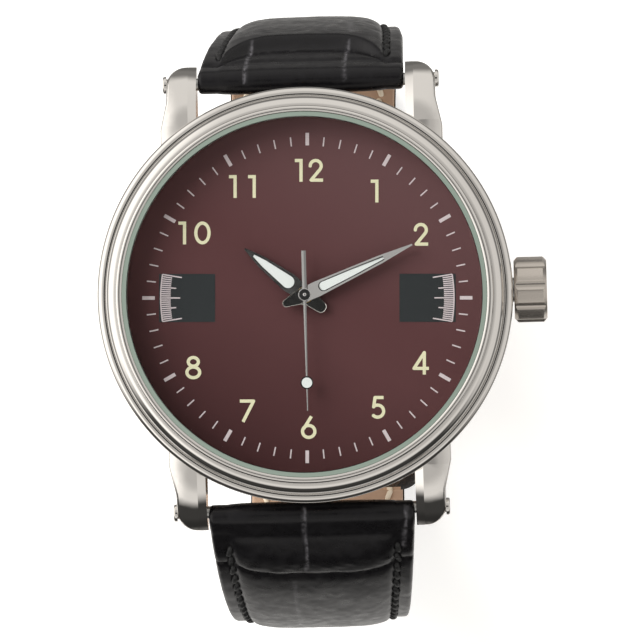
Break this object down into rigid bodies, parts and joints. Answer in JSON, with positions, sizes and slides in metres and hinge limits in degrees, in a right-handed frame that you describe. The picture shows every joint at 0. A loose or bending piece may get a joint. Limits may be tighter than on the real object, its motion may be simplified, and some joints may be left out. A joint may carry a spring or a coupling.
{
  "type": "pilot watch",
  "caption": "Round wristwatch with a stepped polished case, plain numbered dial, fluted crown and an unfastened two-piece leather strap with buckle and keepers.",
  "frame": {"origin": "on the hands' axis, in the outer face of the case back", "axes": "+Z out of the dial, +Y towards 12 o'clock, +X towards the crown"},
  "size_m": [0.0433, 0.0608, 0.0645],
  "materials": {
    "polished_steel": "mirror polished stainless steel",
    "plain_steel": "fine turned steel",
    "hand_steel": "polished facets",
    "crystal_glass": "clear mineral glass",
    "nylon_gasket": "translucent grey-green nylon",
    "rubber_seal": "matt black rubber",
    "dial_lacquer": "dark maroon lacquer, satin",
    "holder_plastic": "moulded, off-white",
    "movement_brass": "plated brass",
    "copper_wire": "enamelled copper winding",
    "board_green": "solder mask",
    "chip_black": "moulded epoxy",
    "lume_white": "luminous paint",
    "black_leather": "glossy black embossed leather",
    "tan_leather": "smooth tan lining"
  },
  "bodies": {
    "root": {"mid_case": "polished_steel", "case_back": "polished_steel", "case_back_gasket": "rubber_seal", "bezel": "polished_steel", "crystal": "crystal_glass", "crystal_gasket": "nylon_gasket", "rehaut_ring": "polished_steel", "dial": "dial_lacquer", "movement_holder": "holder_plastic", "main_plate": "movement_brass", "train_bridge": "movement_brass", "bridge_screws": "plain_steel", "battery": "plain_steel", "battery_clamp": "plain_steel", "circuit_board": "board_green", "timing_chip": "chip_black", "quartz_can": "plain_steel", "coil": "copper_wire", "coil_core": "plain_steel", "stator": "plain_steel", "crown_tube": "plain_steel", "lug_bar_12": "plain_steel", "lug_bar_6": "plain_steel", "lug_screws": "polished_steel"},
    "seconds": {"seconds_wheel": "movement_brass", "seconds_hand": "hand_steel", "seconds_lume": "lume_white"},
    "third": {"third_wheel": "movement_brass"},
    "minutes": {"centre_wheel": "movement_brass", "minute_hand": "hand_steel", "minute_lume": "lume_white"},
    "motion": {"minute_wheel": "movement_brass"},
    "hours": {"hour_wheel": "movement_brass", "hour_hand": "hand_steel", "hour_lume": "lume_white"},
    "fifth": {"fifth_wheel": "movement_brass"},
    "rotor": {"rotor": "plain_steel"},
    "clutch": {"clutch_pinion": "plain_steel"},
    "crown": {"crown": "polished_steel", "crown_gasket": "rubber_seal", "stem": "plain_steel"},
    "lever": {"setting_lever": "plain_steel"},
    "short_strap": {"strap_12_leather": "black_leather", "strap_12_lining": "tan_leather", "fixed_keeper": "black_leather", "buckle_bar": "plain_steel"},
    "keeper": {"sliding_keeper": "black_leather"},
    "buckle": {"buckle_frame": "polished_steel"},
    "tongue": {"buckle_tongue": "polished_steel"},
    "long_strap": {"strap_6_leather": "black_leather", "strap_6_lining": "tan_leather"}
  },
  "joints": [
    {"name": "seconds_turn", "type": "hinge", "parent": "root", "child": "seconds", "pos_m": [0, 0, 0.003], "axis": [0, 0, -1], "continuous": true},
    {"name": "third_turn", "type": "hinge", "parent": "root", "child": "third", "pos_m": [0.00226, -0.00082, 0.003], "axis": [0, 0, -1], "continuous": true},
    {"name": "minutes_turn", "type": "hinge", "parent": "root", "child": "minutes", "pos_m": [0, 0, 0.005], "axis": [0, 0, -1], "continuous": true},
    {"name": "motion_turn", "type": "hinge", "parent": "root", "child": "motion", "pos_m": [0.00062, -0.00232, 0.005], "axis": [0, 0, -1], "continuous": true},
    {"name": "hours_turn", "type": "hinge", "parent": "root", "child": "hours", "pos_m": [0, 0, 0.0055], "axis": [0, 0, -1], "continuous": true},
    {"name": "fifth_turn", "type": "hinge", "parent": "root", "child": "fifth", "pos_m": [0, 0.0026, 0.003], "axis": [0, 0, -1], "continuous": true},
    {"name": "rotor_turn", "type": "hinge", "parent": "root", "child": "rotor", "pos_m": [0, 0.0047, 0.003], "axis": [0, 0, -1], "continuous": true},
    {"name": "crown_turn", "type": "hinge", "parent": "root", "child": "clutch", "pos_m": [0.0072, 0, 0.0037], "axis": [1, 0, 0], "continuous": true},
    {"name": "crown_pull", "type": "slide", "parent": "clutch", "child": "crown", "axis": [1, 0, 0], "range_m": [0, 0.001]},
    {"name": "lever_swing", "type": "hinge", "parent": "root", "child": "lever", "pos_m": [0.00955, 0.0039, 0.0028], "axis": [0, 0, 1], "range_deg": [0, 17.6]},
    {"name": "long_swing", "type": "hinge", "parent": "root", "child": "long_strap", "pos_m": [0, -0.0207, 0.0026], "axis": [-1, 0, 0], "range_deg": [0, 60]},
    {"name": "short_swing", "type": "hinge", "parent": "root", "child": "short_strap", "pos_m": [0, 0.0207, 0.0026], "axis": [1, 0, 0], "range_deg": [0, 60]},
    {"name": "keeper_slide", "type": "slide", "parent": "short_strap", "child": "keeper", "axis": [0, -1, 0], "range_m": [-0.0036, 0.0014]},
    {"name": "buckle_swing", "type": "hinge", "parent": "short_strap", "child": "buckle", "pos_m": [0, -0.0085, -0.03919], "axis": [1, 0, 0], "range_deg": [-55, 40]},
    {"name": "tongue_swing", "type": "hinge", "parent": "buckle", "child": "tongue", "pos_m": [0, -0.0085, -0.03919], "axis": [1, 0, 0], "range_deg": [0, 65]}
  ],
  "couplings": [
    {"joint": "third_turn", "follows": "seconds_turn", "ratio": -0.13333},
    {"joint": "minutes_turn", "follows": "seconds_turn", "ratio": 0.016667},
    {"joint": "motion_turn", "follows": "seconds_turn", "ratio": -0.0055556},
    {"joint": "hours_turn", "follows": "seconds_turn", "ratio": 0.0013889},
    {"joint": "fifth_turn", "follows": "seconds_turn", "ratio": -5},
    {"joint": "rotor_turn", "follows": "seconds_turn", "ratio": 30},
    {"joint": "lever_swing", "follows": "crown_pull", "rad_per_m": 304.88},
    {"joint": "short_swing", "follows": "long_swing", "ratio": 1}
  ]
}
